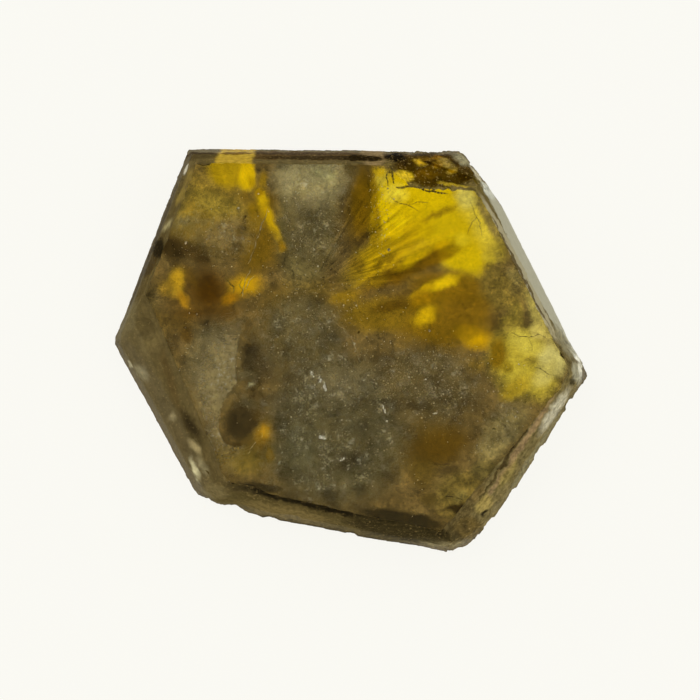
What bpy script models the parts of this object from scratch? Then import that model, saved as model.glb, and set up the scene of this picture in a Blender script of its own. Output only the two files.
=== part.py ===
"""Trapiche quartz: one flat six-sided slice, sawn across the crystal and polished on both faces.

The slice lies on its wider face. Its sides are the crystal's own prism faces, which lean inwards towards
the upper face, with growth shoulders, worn corners, one broken corner and small chips along the rim.
Run it with blender --background --python part.py, or from Blender's text editor.
"""

from math import cos, radians, sin
from random import Random

import bmesh
import bpy
from mathutils import Matrix, Vector

MM = 0.001
THICKNESS = 5.0 * MM
ROUGH_BLOCK = 60.0 * MM  # the block that the faces are cut from

# Each natural face of the slice: the bearing it looks along, counted from +X towards +Y, its distance from
# the origin at the underside, and how far it leans inwards going up, in degrees.
PRISM_FACES = {
    "upper_right": (26.1, 15.44 * MM, 18.2),
    "top": (90.0, 15.50 * MM, 20.5),
    "upper_left": (159.0, 17.25 * MM, 17.0),
    "lower_left": (209.5, 15.66 * MM, 17.0),
    "bottom": (259.5, 13.94 * MM, 15.0),
    "lower_right": (326.3, 16.32 * MM, 14.0),
}

# Low growth shoulders between a prism face and the upper face: bearing, distance from the origin at the
# upper face, and lean. They are the wide bands of the lower sides.
SHOULDERS = {
    "lower_left": (204.4, 12.54 * MM, 47.0),
    "bottom": (257.9, 12.29 * MM, 27.0),
    "lower_right": (319.8, 14.17 * MM, 38.0),
}

# Worn or broken corners, given like the prism faces.
CORNERS = {
    "top_right": (34.5, 15.98 * MM, 12.0),
    "top_right_tip": (47.0, 17.17 * MM, 12.0),
    "left": (176.0, 18.16 * MM, 20.0),
    "bottom_left": (220.0, 16.00 * MM, 22.0),
    "bottom_right_tip": (304.0, 17.34 * MM, 17.0),
    "bottom_right": (319.3, 16.74 * MM, 13.0),
    "right_lower": (333.0, 17.16 * MM, 18.0),
    "right_upper": (9.0, 17.60 * MM, 20.0),
}

# The break that took the upper edge off next to the top right corner: its brink on the upper face, and its
# foot outside the rim.
BREAK_BRINK = ((2.9, 13.7), (4.2, 12.8), (4.7, 12.05), (9.5, 11.7), (11.1, 12.3))
BREAK_FOOT = ((3.4, 17.0), (10.4, 17.0), (13.0, 13.4))
BREAK_FOOT_HEIGHT = 2.3 * MM
BREAK_HEADROOM = 3.0 * MM

# Shell-shaped hollows inside that break: x, y, height and radius.
BREAK_HOLLOWS = (
    (4.9, 13.9, 5.0, 1.25),
    (6.7, 13.5, 4.7, 1.10),
    (8.7, 13.1, 4.5, 1.30),
    (10.2, 12.8, 4.0, 0.95),
    (7.6, 14.9, 3.4, 0.90),
)

# Chips along the rim: the bearing from the origin, the height, the radius of the shell-shaped surface, and
# how deep it bites.
RIM_CHIPS = (
    (3.0, 1.5, 1.0, 0.20),
    (50.5, 0.8, 1.2, 0.35),
    (127.5, 4.6, 1.0, 0.30),
    (131.0, 2.0, 0.9, 0.20),
    (176.5, 4.4, 1.1, 0.35),
    (181.0, 0.9, 1.0, 0.25),
    (200.0, 3.4, 1.5, 0.20),
    (214.0, 4.2, 1.6, 0.30),
    (222.0, 4.4, 1.2, 0.35),
    (226.0, 0.7, 1.3, 0.30),
    (231.0, 0.3, 2.2, 0.50),
    (233.0, 4.6, 1.1, 0.30),
    (235.5, 0.2, 1.6, 0.40),
    (246.0, 0.3, 1.2, 0.20),
    (252.0, 2.0, 1.4, 0.22),
    (262.0, 4.7, 1.2, 0.25),
    (270.0, 0.3, 1.1, 0.15),
    (278.0, 4.6, 1.3, 0.30),
    (287.0, 2.6, 1.5, 0.25),
    (293.0, 4.5, 1.2, 0.35),
    (297.0, 0.4, 1.3, 0.40),
    (301.5, 3.9, 1.4, 0.45),
    (305.0, 0.6, 1.0, 0.35),
    (309.0, 0.3, 0.9, 0.30),
    (312.5, 2.4, 1.3, 0.30),
    (318.0, 0.3, 1.0, 0.25),
    (320.0, 4.6, 1.1, 0.25),
    (326.0, 2.4, 1.5, 0.35),
    (331.0, 0.4, 1.1, 0.30),
    (335.0, 4.2, 1.0, 0.20),
    (340.0, 2.4, 1.4, 0.35),
    (345.0, 0.8, 1.3, 0.35),
    (349.0, 3.3, 1.2, 0.30),
    (354.0, 1.2, 1.2, 0.30),
    (358.0, 4.4, 1.0, 0.30),
)
CHIP_FLATNESS = 0.8  # a chip is lower than it is wide
CHIP_ROUGHNESS = 0.08  # how far its surface strays from round, as a share of its radius

SMOKY_YELLOW = (0.30, 0.21, 0.06, 1.0)
QUARTZ_IOR = 1.544
ABSORB_YELLOW = (0.80, 0.66, 0.28, 1.0)
ABSORB_PER_METRE = 160.0


def clear_scene():
    for thing in list(bpy.data.objects):
        bpy.data.objects.remove(thing, do_unlink=True)


def quartz_material():
    """Clear smoky yellow quartz: it bends light as quartz does and takes out blue along the way."""
    material = bpy.data.materials.new("smoky_yellow_quartz")
    material.use_nodes = True
    nodes = material.node_tree.nodes
    shader = nodes["Principled BSDF"]
    shader.inputs["Base Color"].default_value = SMOKY_YELLOW
    shader.inputs["Roughness"].default_value = 0.05
    shader.inputs["Metallic"].default_value = 0.0
    shader.inputs["IOR"].default_value = QUARTZ_IOR
    shader.inputs["Transmission Weight"].default_value = 1.0
    absorb = nodes.new("ShaderNodeVolumeAbsorption")
    absorb.inputs["Color"].default_value = ABSORB_YELLOW
    absorb.inputs["Density"].default_value = ABSORB_PER_METRE
    output = nodes["Material Output"]
    material.node_tree.links.new(absorb.outputs["Volume"], output.inputs["Volume"])
    return material


def leaning_plane(bearing, reach, lean, height):
    """A point on the plane and its outward normal, for a face that is reach from the axis at this height."""
    out = Vector((cos(radians(bearing)), sin(radians(bearing)), 0.0))
    normal = out * cos(radians(lean)) + Vector((0.0, 0.0, sin(radians(lean))))
    return out * reach + Vector((0.0, 0.0, height)), normal


def rim_planes():
    planes = [leaning_plane(*face, 0.0) for face in PRISM_FACES.values()]
    planes += [leaning_plane(*corner, 0.0) for corner in CORNERS.values()]
    planes += [leaning_plane(*shoulder, THICKNESS) for shoulder in SHOULDERS.values()]
    return planes


def rim_point(bearing, height):
    """Where a level line from the axis leaves the slice."""
    along = Vector((cos(radians(bearing)), sin(radians(bearing)), 0.0))
    start = Vector((0.0, 0.0, height))
    reaches = [(point - start).dot(normal) / along.dot(normal)
               for point, normal in rim_planes() if along.dot(normal) > 0.0]
    return start + along * min(reaches)


def object_of(bm, name):
    bmesh.ops.recalc_face_normals(bm, faces=bm.faces)
    mesh = bpy.data.meshes.new(name)
    bm.to_mesh(mesh)
    bm.free()
    thing = bpy.data.objects.new(name, mesh)
    bpy.context.scene.collection.objects.link(thing)
    return thing


def slice_off(bm, point, normal):
    """Cuts away what lies beyond the plane and closes the cut with one flat face."""
    geometry = bm.verts[:] + bm.edges[:] + bm.faces[:]
    cut = bmesh.ops.bisect_plane(bm, geom=geometry, plane_co=point, plane_no=normal, clear_outer=True)
    edges = [piece for piece in cut["geom_cut"] if isinstance(piece, bmesh.types.BMEdge)]
    if edges:
        bmesh.ops.contextual_create(bm, geom=edges)


def whole_slice():
    """The slice before anything broke off it: two sawn faces, the prism faces, shoulders and corners."""
    bm = bmesh.new()
    bmesh.ops.create_cube(bm, size=ROUGH_BLOCK)
    up = Vector((0.0, 0.0, 1.0))
    slice_off(bm, up * THICKNESS, up)
    slice_off(bm, up * 0.0, -up)
    for point, normal in rim_planes():
        slice_off(bm, point, normal)
    return object_of(bm, "crystal_slice")


def cutter_from(bm, name):
    cutter = object_of(bm, name)
    cutter.hide_render = True
    cutter.display_type = "WIRE"
    return cutter


def chip_cutter(name, centre, radius, seed):
    """A lump with broken facets, which takes a shell-shaped chip out of the slice."""
    spread = Random(seed)
    bm = bmesh.new()
    bmesh.ops.create_icosphere(bm, subdivisions=2, radius=radius)
    turn = Matrix.Rotation(spread.uniform(0.0, 6.28), 4, "Z")
    turn = turn @ Matrix.Rotation(spread.uniform(0.0, 3.14), 4, "X")
    bmesh.ops.transform(bm, matrix=turn, verts=bm.verts)
    for corner in bm.verts:
        corner.co *= 1.0 + spread.uniform(-CHIP_ROUGHNESS, CHIP_ROUGHNESS)
        corner.co.z *= CHIP_FLATNESS
    bmesh.ops.translate(bm, vec=centre, verts=bm.verts)
    return cutter_from(bm, name)


def break_cutter():
    """The piece that came off next to the top right corner, as the hull of its corners."""
    bm = bmesh.new()
    for x, y in BREAK_BRINK:
        bm.verts.new((x * MM, y * MM, THICKNESS))
        bm.verts.new((x * MM, y * MM, THICKNESS + BREAK_HEADROOM))
    for x, y in BREAK_FOOT:
        bm.verts.new((x * MM, y * MM, BREAK_FOOT_HEIGHT))
        bm.verts.new((x * MM, y * MM, THICKNESS + BREAK_HEADROOM))
    hull = bmesh.ops.convex_hull(bm, input=bm.verts)
    spare = [piece for piece in hull["geom_interior"] if isinstance(piece, bmesh.types.BMVert)]
    bmesh.ops.delete(bm, geom=spare, context="VERTS")
    return cutter_from(bm, "cut_broken_corner")


def cut_with(thing, cutter):
    cut = thing.modifiers.new(cutter.name, "BOOLEAN")
    cut.operation = "DIFFERENCE"
    cut.solver = "EXACT"
    cut.object = cutter


def chip_the_rim(crystal):
    cut_with(crystal, break_cutter())
    for number, (x, y, height, radius) in enumerate(BREAK_HOLLOWS, 1):
        centre = Vector((x, y, height)) * MM
        cut_with(crystal, chip_cutter(f"cut_break_hollow_{number}", centre, radius * MM, number))
    for number, (bearing, height, radius, bite) in enumerate(RIM_CHIPS, 1):
        edge = rim_point(bearing, height * MM)
        outward = Vector((edge.x, edge.y, 0.0)).normalized() * (radius - bite) * MM
        cut_with(crystal, chip_cutter(f"cut_rim_chip_{number}", edge + outward, radius * MM, 100 + number))


def main():
    clear_scene()
    crystal = whole_slice()
    crystal.data.materials.append(quartz_material())
    chip_the_rim(crystal)


main()
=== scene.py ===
from math import atan2, cos, degrees, hypot, pi, radians, sin, sqrt
from random import Random

import bpy
import numpy as np
from mathutils import Matrix, Vector, noise
from mathutils.bvhtree import BVHTree


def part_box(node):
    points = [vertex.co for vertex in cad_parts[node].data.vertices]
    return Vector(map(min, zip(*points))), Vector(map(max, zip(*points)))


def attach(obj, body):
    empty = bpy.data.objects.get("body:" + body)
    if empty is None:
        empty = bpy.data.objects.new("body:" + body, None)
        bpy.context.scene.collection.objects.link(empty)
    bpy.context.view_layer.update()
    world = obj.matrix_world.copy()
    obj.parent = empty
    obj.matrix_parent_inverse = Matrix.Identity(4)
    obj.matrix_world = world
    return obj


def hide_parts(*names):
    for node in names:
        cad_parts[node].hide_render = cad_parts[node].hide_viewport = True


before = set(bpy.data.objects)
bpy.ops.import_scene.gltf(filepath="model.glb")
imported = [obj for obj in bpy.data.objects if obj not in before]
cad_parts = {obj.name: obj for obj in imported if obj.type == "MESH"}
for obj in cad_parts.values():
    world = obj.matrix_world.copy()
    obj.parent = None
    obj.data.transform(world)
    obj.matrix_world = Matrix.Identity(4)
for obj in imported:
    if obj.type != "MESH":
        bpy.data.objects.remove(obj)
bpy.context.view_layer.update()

# ---- The eye ---------------------------------------------------------------------------------------------
# The slice lies flat and is looked down on from a hand's breadth above its middle, a few degrees off square
# towards its long lower side, through a portrait lens.

MM = 0.001
EYE_LENS = 100.0
EYE_SENSOR = 36.0
EYE_DISTANCE = 150.0 * MM
EYE_TIP = radians(4.4)
LOOKED_AT = Vector((0.012, -0.137, 0.0)) * MM


def set_up_eye():
    lens = bpy.data.cameras.new("eye")
    lens.lens = EYE_LENS
    lens.sensor_width = EYE_SENSOR
    lens.clip_start = 1.0 * MM
    lens.clip_end = 10.0
    eye = bpy.data.objects.new("eye", lens)
    bpy.context.scene.collection.objects.link(eye)
    away = Vector((0.0, -sin(EYE_TIP), cos(EYE_TIP)))
    eye.location = LOOKED_AT + away * EYE_DISTANCE
    eye.rotation_euler = (EYE_TIP, 0.0, 0.0)
    bpy.context.scene.camera = eye


set_up_eye()

# ---- The lit table and the room --------------------------------------------------------------------------
# A white acrylic sheet, lit softly from underneath as a light table is, so that light comes up through the
# crystal. The room round it is pale, dark straight above, with one large soft window high up at the left.

PAPER = (250, 249, 243)
TABLE_SIDE = 3.0
TABLE_GAP = 0.02 * MM
TABLE_GLOW = 0.937
TABLE_WHITENESS = 0.08
ROOM_ABOVE = (0.03, 0.03, 0.03)
WINDOW_WAY = (-0.55, 0.45, 0.70)
WINDOW_LIGHT = (3.2, 3.2, 3.1)


def shown(red, green, blue):
    """The light that a screen shows as this colour, given in the usual 0 to 255."""
    return tuple(((part / 255.0 + 0.055) / 1.055) ** 2.4 if part > 10 else part / 3294.6
                 for part in (red, green, blue))


class Wire:
    """One output in a material's nodes. Sums and products of wires and numbers add the nodes for them."""

    def __init__(self, tree, socket):
        self.tree, self.socket = tree, socket

    def node(self, kind, settings=None, inputs=None, output=0):
        """Adds any node: its settings first, then the value or wire of each named or numbered socket."""
        made = self.tree.nodes.new("ShaderNode" + kind)
        for name, value in (settings or {}).items():
            setattr(made, name, value)
        for name, value in (inputs or {}).items():
            if isinstance(value, Wire):
                self.tree.links.new(value.socket, made.inputs[name])
            else:
                made.inputs[name].default_value = value
        return Wire(self.tree, made.outputs[output])

    def maths(self, operation, *others):
        return self.node("Math", {"operation": operation}, dict(enumerate((self, *others))))

    def __add__(self, other):
        return self.maths("ADD", other)

    def __sub__(self, other):
        return self.maths("SUBTRACT", other)

    def __rsub__(self, other):
        return self.node("Math", {"operation": "SUBTRACT"}, {0: other, 1: self})

    def __mul__(self, other):
        return self.maths("MULTIPLY", other)

    __radd__, __rmul__ = __add__, __mul__

    def constant(self, value):
        made = self.tree.nodes.new("ShaderNodeRGB")
        made.outputs[0].default_value = value
        return Wire(self.tree, made.outputs[0])

    def least(self, other):
        return self.maths("MINIMUM", other)

    def most(self, other):
        return self.maths("MAXIMUM", other)

    def smooth(self, low, high, start=0.0, end=1.0):
        """Eases from start to end as the value goes from low to high."""
        return self.node("MapRange", {"interpolation_type": "SMOOTHSTEP"},
                         {"Value": self, "From Min": low, "From Max": high, "To Min": start, "To Max": end})

    def part(self, axis):
        return self.node("SeparateXYZ", None, {0: self}, output=axis)

    def vector(self, operation, *values, output=0):
        return self.node("VectorMath", {"operation": operation}, dict(enumerate((self, *values))), output)

    def aside(self, seed):
        """This place in another stretch of the noise, so that two noises of one size don't match."""
        return self.vector("ADD", (0.0, 0.0, seed))

    def scaled(self, share):
        """This colour or vector made longer or brighter by a wire's value."""
        return self.node("VectorMath", {"operation": "SCALE"}, {0: self, "Scale": share})

    def blend(self, other, share):
        """This colour mixed with that one by that share."""
        return self.node("Mix", {"data_type": "RGBA", "clamp_factor": True},
                         {"Factor": share, 6: self, 7: (*other, 1.0)}, output=2)

    def grain(self, size, detail=2.0, rough=0.5, warp=0.0):
        """Even noise whose lumps are this size, from about 0 to 1, of the coordinates on this wire."""
        return self.node("TexNoise", None, {"Vector": self, "Scale": 1.0 / size, "Detail": detail,
                                            "Roughness": rough, "Distortion": warp})


def light_room():
    world = bpy.data.worlds.new("room")
    bpy.context.scene.world = world
    world.use_nodes = True
    tree = world.node_tree
    way = Wire(tree, tree.nodes.new("ShaderNodeTexCoord").outputs["Generated"])
    height = way.part(2)
    walls = height.constant((*shown(*PAPER), 1.0))
    colour = walls.blend(ROOM_ABOVE, height.smooth(0.80, 0.97))
    facing = way.vector("DOT_PRODUCT", tuple(Vector(WINDOW_WAY).normalized()), output=1)
    colour = colour.blend(WINDOW_LIGHT, facing.smooth(0.955, 0.99))
    tree.links.new(colour.socket, tree.nodes["Background"].inputs["Color"])


def lay_table():
    mesh = bpy.data.meshes.new("light_table")
    half = TABLE_SIDE / 2
    corners = [(x * half, y * half, -TABLE_GAP) for x, y in ((-1, -1), (1, -1), (1, 1), (-1, 1))]
    mesh.from_pydata(corners, [], [(0, 1, 2, 3)])
    table = bpy.data.objects.new("light_table", mesh)
    bpy.context.scene.collection.objects.link(table)
    material = bpy.data.materials.new("lit_acrylic")
    material.use_nodes = True
    shader = material.node_tree.nodes["Principled BSDF"]
    paper = shown(*PAPER)
    shader.inputs["Base Color"].default_value = (*(TABLE_WHITENESS * part for part in paper), 1.0)
    shader.inputs["Roughness"].default_value = 0.9
    shader.inputs["Specular IOR Level"].default_value = 0.0
    shader.inputs["Emission Color"].default_value = (*paper, 1.0)
    shader.inputs["Emission Strength"].default_value = TABLE_GLOW
    mesh.materials.append(material)


def set_up_exposure():
    scene = bpy.context.scene
    scene.view_settings.view_transform = "Standard"
    scene.cycles.max_bounces = 24
    scene.cycles.diffuse_bounces = 3
    scene.cycles.glossy_bounces = 6
    scene.cycles.transmission_bounces = 24
    scene.cycles.transparent_max_bounces = 48
    scene.cycles.caustics_reflective = False


light_room()
lay_table()
set_up_exposure()

# ---- The crystal's skin ----------------------------------------------------------------------------------
# The outside of the slice: two polished faces and the rim of natural prism faces, with their growth lines,
# worn edges and broken places, as one clear closed body of quartz that takes a little blue out of the light.

QUARTZ_IOR = 1.544
SKIN_COLUMNS = 1300
SKIN_ROWS = 40
SKIN_INSET = 0.05 * MM
SKIN_EDGE = 0.01 * MM
RIM_ROUGHNESS = 0.19
POLISH_ROUGHNESS = 0.02
LEFT_BY_QUARTZ = (0.94, 0.82, 0.0)  # the colour that a long way through it leaves
LOSS_PER_METRE = 140.0

# How broken the rim is going round it: bearing in degrees, and how far its surface strays, in millimetres.
RIM_WEAR = ((-180, 0.05), (-150, 0.05), (-134, 0.10), (-120, 0.08), (-100, 0.05), (-75, 0.08),
            (-55, 0.11), (-20, 0.11), (-8, 0.14), (2, 0.10), (8, 0.02), (46, 0.02), (50, 0.22),
            (76, 0.22), (80, 0.05), (125, 0.05), (135, 0.08), (160, 0.04), (180, 0.05))
# How far the real rim stands out from the solid's, or in from it, going round: bearing, and millimetres.
RIM_STAND = ((-180, 0.0), (-160, 0.03), (-145, 0.11), (-139, 0.14), (-135, 0.24), (-131, 0.0),
             (-126, -0.22), (-122, -0.10), (-117, 0.12), (-100, 0.05), (-93, 0.08), (-89, 0.19),
             (-78, 0.15), (-71, 0.02), (-66, 0.15), (-60, 0.24), (-52, 0.13), (-45, 0.20), (-39, 0.27),
             (-30, 0.24), (-18, 0.17), (-10, 0.13), (-4, 0.20), (0, 0.06), (40, 0.03), (50, -0.02),
             (56, -0.11), (66, -0.16), (80, -0.12), (88, -0.03), (105, -0.05), (115, 0.04),
             (135, 0.04), (155, -0.02), (172, -0.08), (180, 0.0))


def cad_solid(node):
    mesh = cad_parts[node].data
    return BVHTree.FromPolygons([v.co for v in mesh.vertices], [tuple(p.vertices) for p in mesh.polygons])


slice_solid = cad_solid("crystal_slice")
slice_low, slice_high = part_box("crystal_slice")
THICKNESS = slice_high.z - slice_low.z


def rim_reach(bearing, height):
    """How far the solid's rim is from the middle that way and at that height."""
    along = Vector((cos(bearing), sin(bearing), 0.0))
    start = Vector((0.0, 0.0, min(max(height, SKIN_EDGE), THICKNESS - SKIN_EDGE)))
    return slice_solid.ray_cast(start, along)[3]


def even_bearings(count):
    """Bearings from the middle that are evenly far apart along the rim at half height."""
    fine = np.linspace(-pi, pi, 3601)
    reach = np.array([rim_reach(bearing, THICKNESS / 2) for bearing in fine])
    x, y = reach * np.cos(fine), reach * np.sin(fine)
    along = np.concatenate([[0.0], np.cumsum(np.hypot(np.diff(x), np.diff(y)))])
    return np.interp(np.arange(count) * along[-1] / count, along, fine)


def shard(place, size):
    """The height of a broken surface: flat facets of this size, each tilted its own way."""
    _, centres = noise.voronoi(place / size)
    tilt = noise.cell_vector(centres[0] * 7.3)
    return (place / size - centres[0]).dot(tilt)


def rim_loss(bearing, place):
    """How much the real rim is set back from the solid's: growth lines, wear and breaks. In millimetres."""
    wear = np.interp(degrees(bearing), *zip(*RIM_WEAR))
    x, y, z = place
    lines = 0.020 * noise.noise(Vector((x * 0.12, y * 0.12, z * 6.0)))
    lines += 0.010 * noise.noise(Vector((x * 0.20, y * 0.20, z * 16.0)))
    swell = 0.5 * wear * noise.noise(Vector((x * 0.45, y * 0.45, z * 0.5)))
    broken = wear * (shard(place, 0.9) * 0.6 + shard(place, 0.35) * 0.25)
    fine = 0.10 * wear * noise.noise(place * 9.0)
    loss = 0.2 * wear + lines + swell + broken + fine
    for depth, brink in ((THICKNESS / MM - z, 0.10), (z, 0.04)):
        brink += 0.5 * wear + max(noise.noise(Vector((x * 1.7, y * 1.7, brink * 90))), 0.0) * 0.22
        if depth < brink:
            loss += brink * (1.0 - sqrt(1.0 - ((brink - depth) / brink) ** 2)) * 0.6
    return max(loss, -0.3 * wear) - np.interp(degrees(bearing), *zip(*RIM_STAND))


def real_rim():
    """How far the worn rim reaches at each height and bearing, in rings set closer near both faces."""
    bearings = even_bearings(SKIN_COLUMNS)
    rings = []
    for row in range(SKIN_ROWS):
        height = THICKNESS * (0.5 - 0.5 * cos(pi * row / (SKIN_ROWS - 1)))
        reaches = []
        for bearing in bearings:
            reach = rim_reach(bearing, height)
            place = Vector((reach * cos(bearing), reach * sin(bearing), height)) / MM
            reaches.append(reach - rim_loss(bearing, place) * MM)
        rings.append((height, reaches))
    return bearings, rings


rim_bearings, rim_rings = real_rim()


def ring_points(height, reaches, inset):
    return [((reach - inset) * cos(bearing), (reach - inset) * sin(bearing), height)
            for bearing, reach in zip(rim_bearings, reaches)]


def rim_faces(columns, rows):
    faces = []
    for row in range(rows - 1):
        low, high = row * columns, (row + 1) * columns
        for column in range(columns):
            after = (column + 1) % columns
            faces.append((low + column, low + after, high + after, high + column))
    return faces


def link_piece(name, mesh, material):
    piece = bpy.data.objects.new(name, mesh)
    bpy.context.scene.collection.objects.link(piece)
    mesh.materials.append(material)
    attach(piece, "root")
    return piece


def skin_mesh():
    points = [point for ring in rim_rings for point in ring_points(*ring, SKIN_INSET)]
    faces = rim_faces(SKIN_COLUMNS, SKIN_ROWS)
    faces.append(tuple(reversed(range(SKIN_COLUMNS))))
    faces.append(tuple(range((SKIN_ROWS - 1) * SKIN_COLUMNS, SKIN_ROWS * SKIN_COLUMNS)))
    mesh = bpy.data.meshes.new("crystal_skin")
    mesh.from_pydata(points, [], faces)
    mesh.shade_smooth()
    mesh.set_sharp_from_angle(angle=radians(32.0))
    for polished in mesh.polygons[-2:]:
        polished.use_smooth = False
    return mesh


def new_material(name):
    """A node material, its shader, and the wire that holds the place on the piece in millimetres."""
    material = bpy.data.materials.new(name)
    material.use_nodes = True
    tree = material.node_tree
    spot = Wire(tree, tree.nodes.new("ShaderNodeTexCoord").outputs["Object"])
    return material, tree.nodes["Principled BSDF"], spot.vector("MULTIPLY", (1.0 / MM,) * 3)


def feed(shader, **values):
    for name, value in values.items():
        socket = shader.inputs[name.replace("_", " ")]
        if isinstance(value, Wire):
            value.tree.links.new(value.socket, socket)
        else:
            socket.default_value = value


def absorb(material, colour, density):
    tree = material.node_tree
    loss = tree.nodes.new("ShaderNodeVolumeAbsorption")
    loss.inputs["Color"].default_value = (*colour, 1.0)
    loss.inputs["Density"].default_value = density
    tree.links.new(loss.outputs["Volume"], tree.nodes["Material Output"].inputs["Volume"])


def skin_material():
    material, shader, place = new_material("quartz_skin")
    looks = Wire(place.tree, place.tree.nodes.new("ShaderNodeNewGeometry").outputs["True Normal"])
    rim = looks.part(2).maths("ABSOLUTE").smooth(0.999, 0.99)
    frost = rim * (place.grain(0.5) * 0.3 + RIM_ROUGHNESS)
    bumps = rim * place.grain(0.12, detail=3.0)
    bump = bumps.node("Bump", None, {"Strength": 0.35, "Distance": 0.04 * MM, "Height": bumps})
    feed(shader, Base_Color=(1.0, 1.0, 1.0, 1.0), IOR=QUARTZ_IOR, Transmission_Weight=1.0)
    feed(shader, Roughness=frost + POLISH_ROUGHNESS, Normal=bump)
    absorb(material, LEFT_BY_QUARTZ, LOSS_PER_METRE)
    return material


crystal_skin = link_piece("crystal_skin", skin_mesh(), skin_material())
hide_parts("crystal_slice")

# ---- The stained coat of the rim -------------------------------------------------------------------------
# The natural prism faces keep a dull outer coat of iron stain, clay and fine frost, which the growth lines
# and the broken corner hold. It wraps the rim like a skin, and is thin where yellow shows through it. Some
# patches are painted light: glints on the broken corner and lower rims, highlights on the knob and on a chip,
# part of the pale grey of the upper right face, and painted shadow down the lower left band.

COAT_GROUND = (84, 72, 42)
COAT_LIGHT = 0.75
# The pale of grains on the broken rim, which also stand in as painted glints.
COAT_SPECK_AND_GLINT = (184, 156, 96)
# How uneven the coat's colour is going round: bearing in degrees, and 0 for even to 1 for very patchy.
COAT_ROUGHNESS = ((-180, 0.35), (-150, 0.3), (-128, 0.5), (-115, 0.55), (-70, 0.6), (-60, 1.0),
                  (-10, 0.8), (4, 0.7), (8, 0.1), (46, 0.1), (50, 1.0), (78, 1.0), (84, 0.7),
                  (122, 0.6), (135, 0.4), (180, 0.35))
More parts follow.
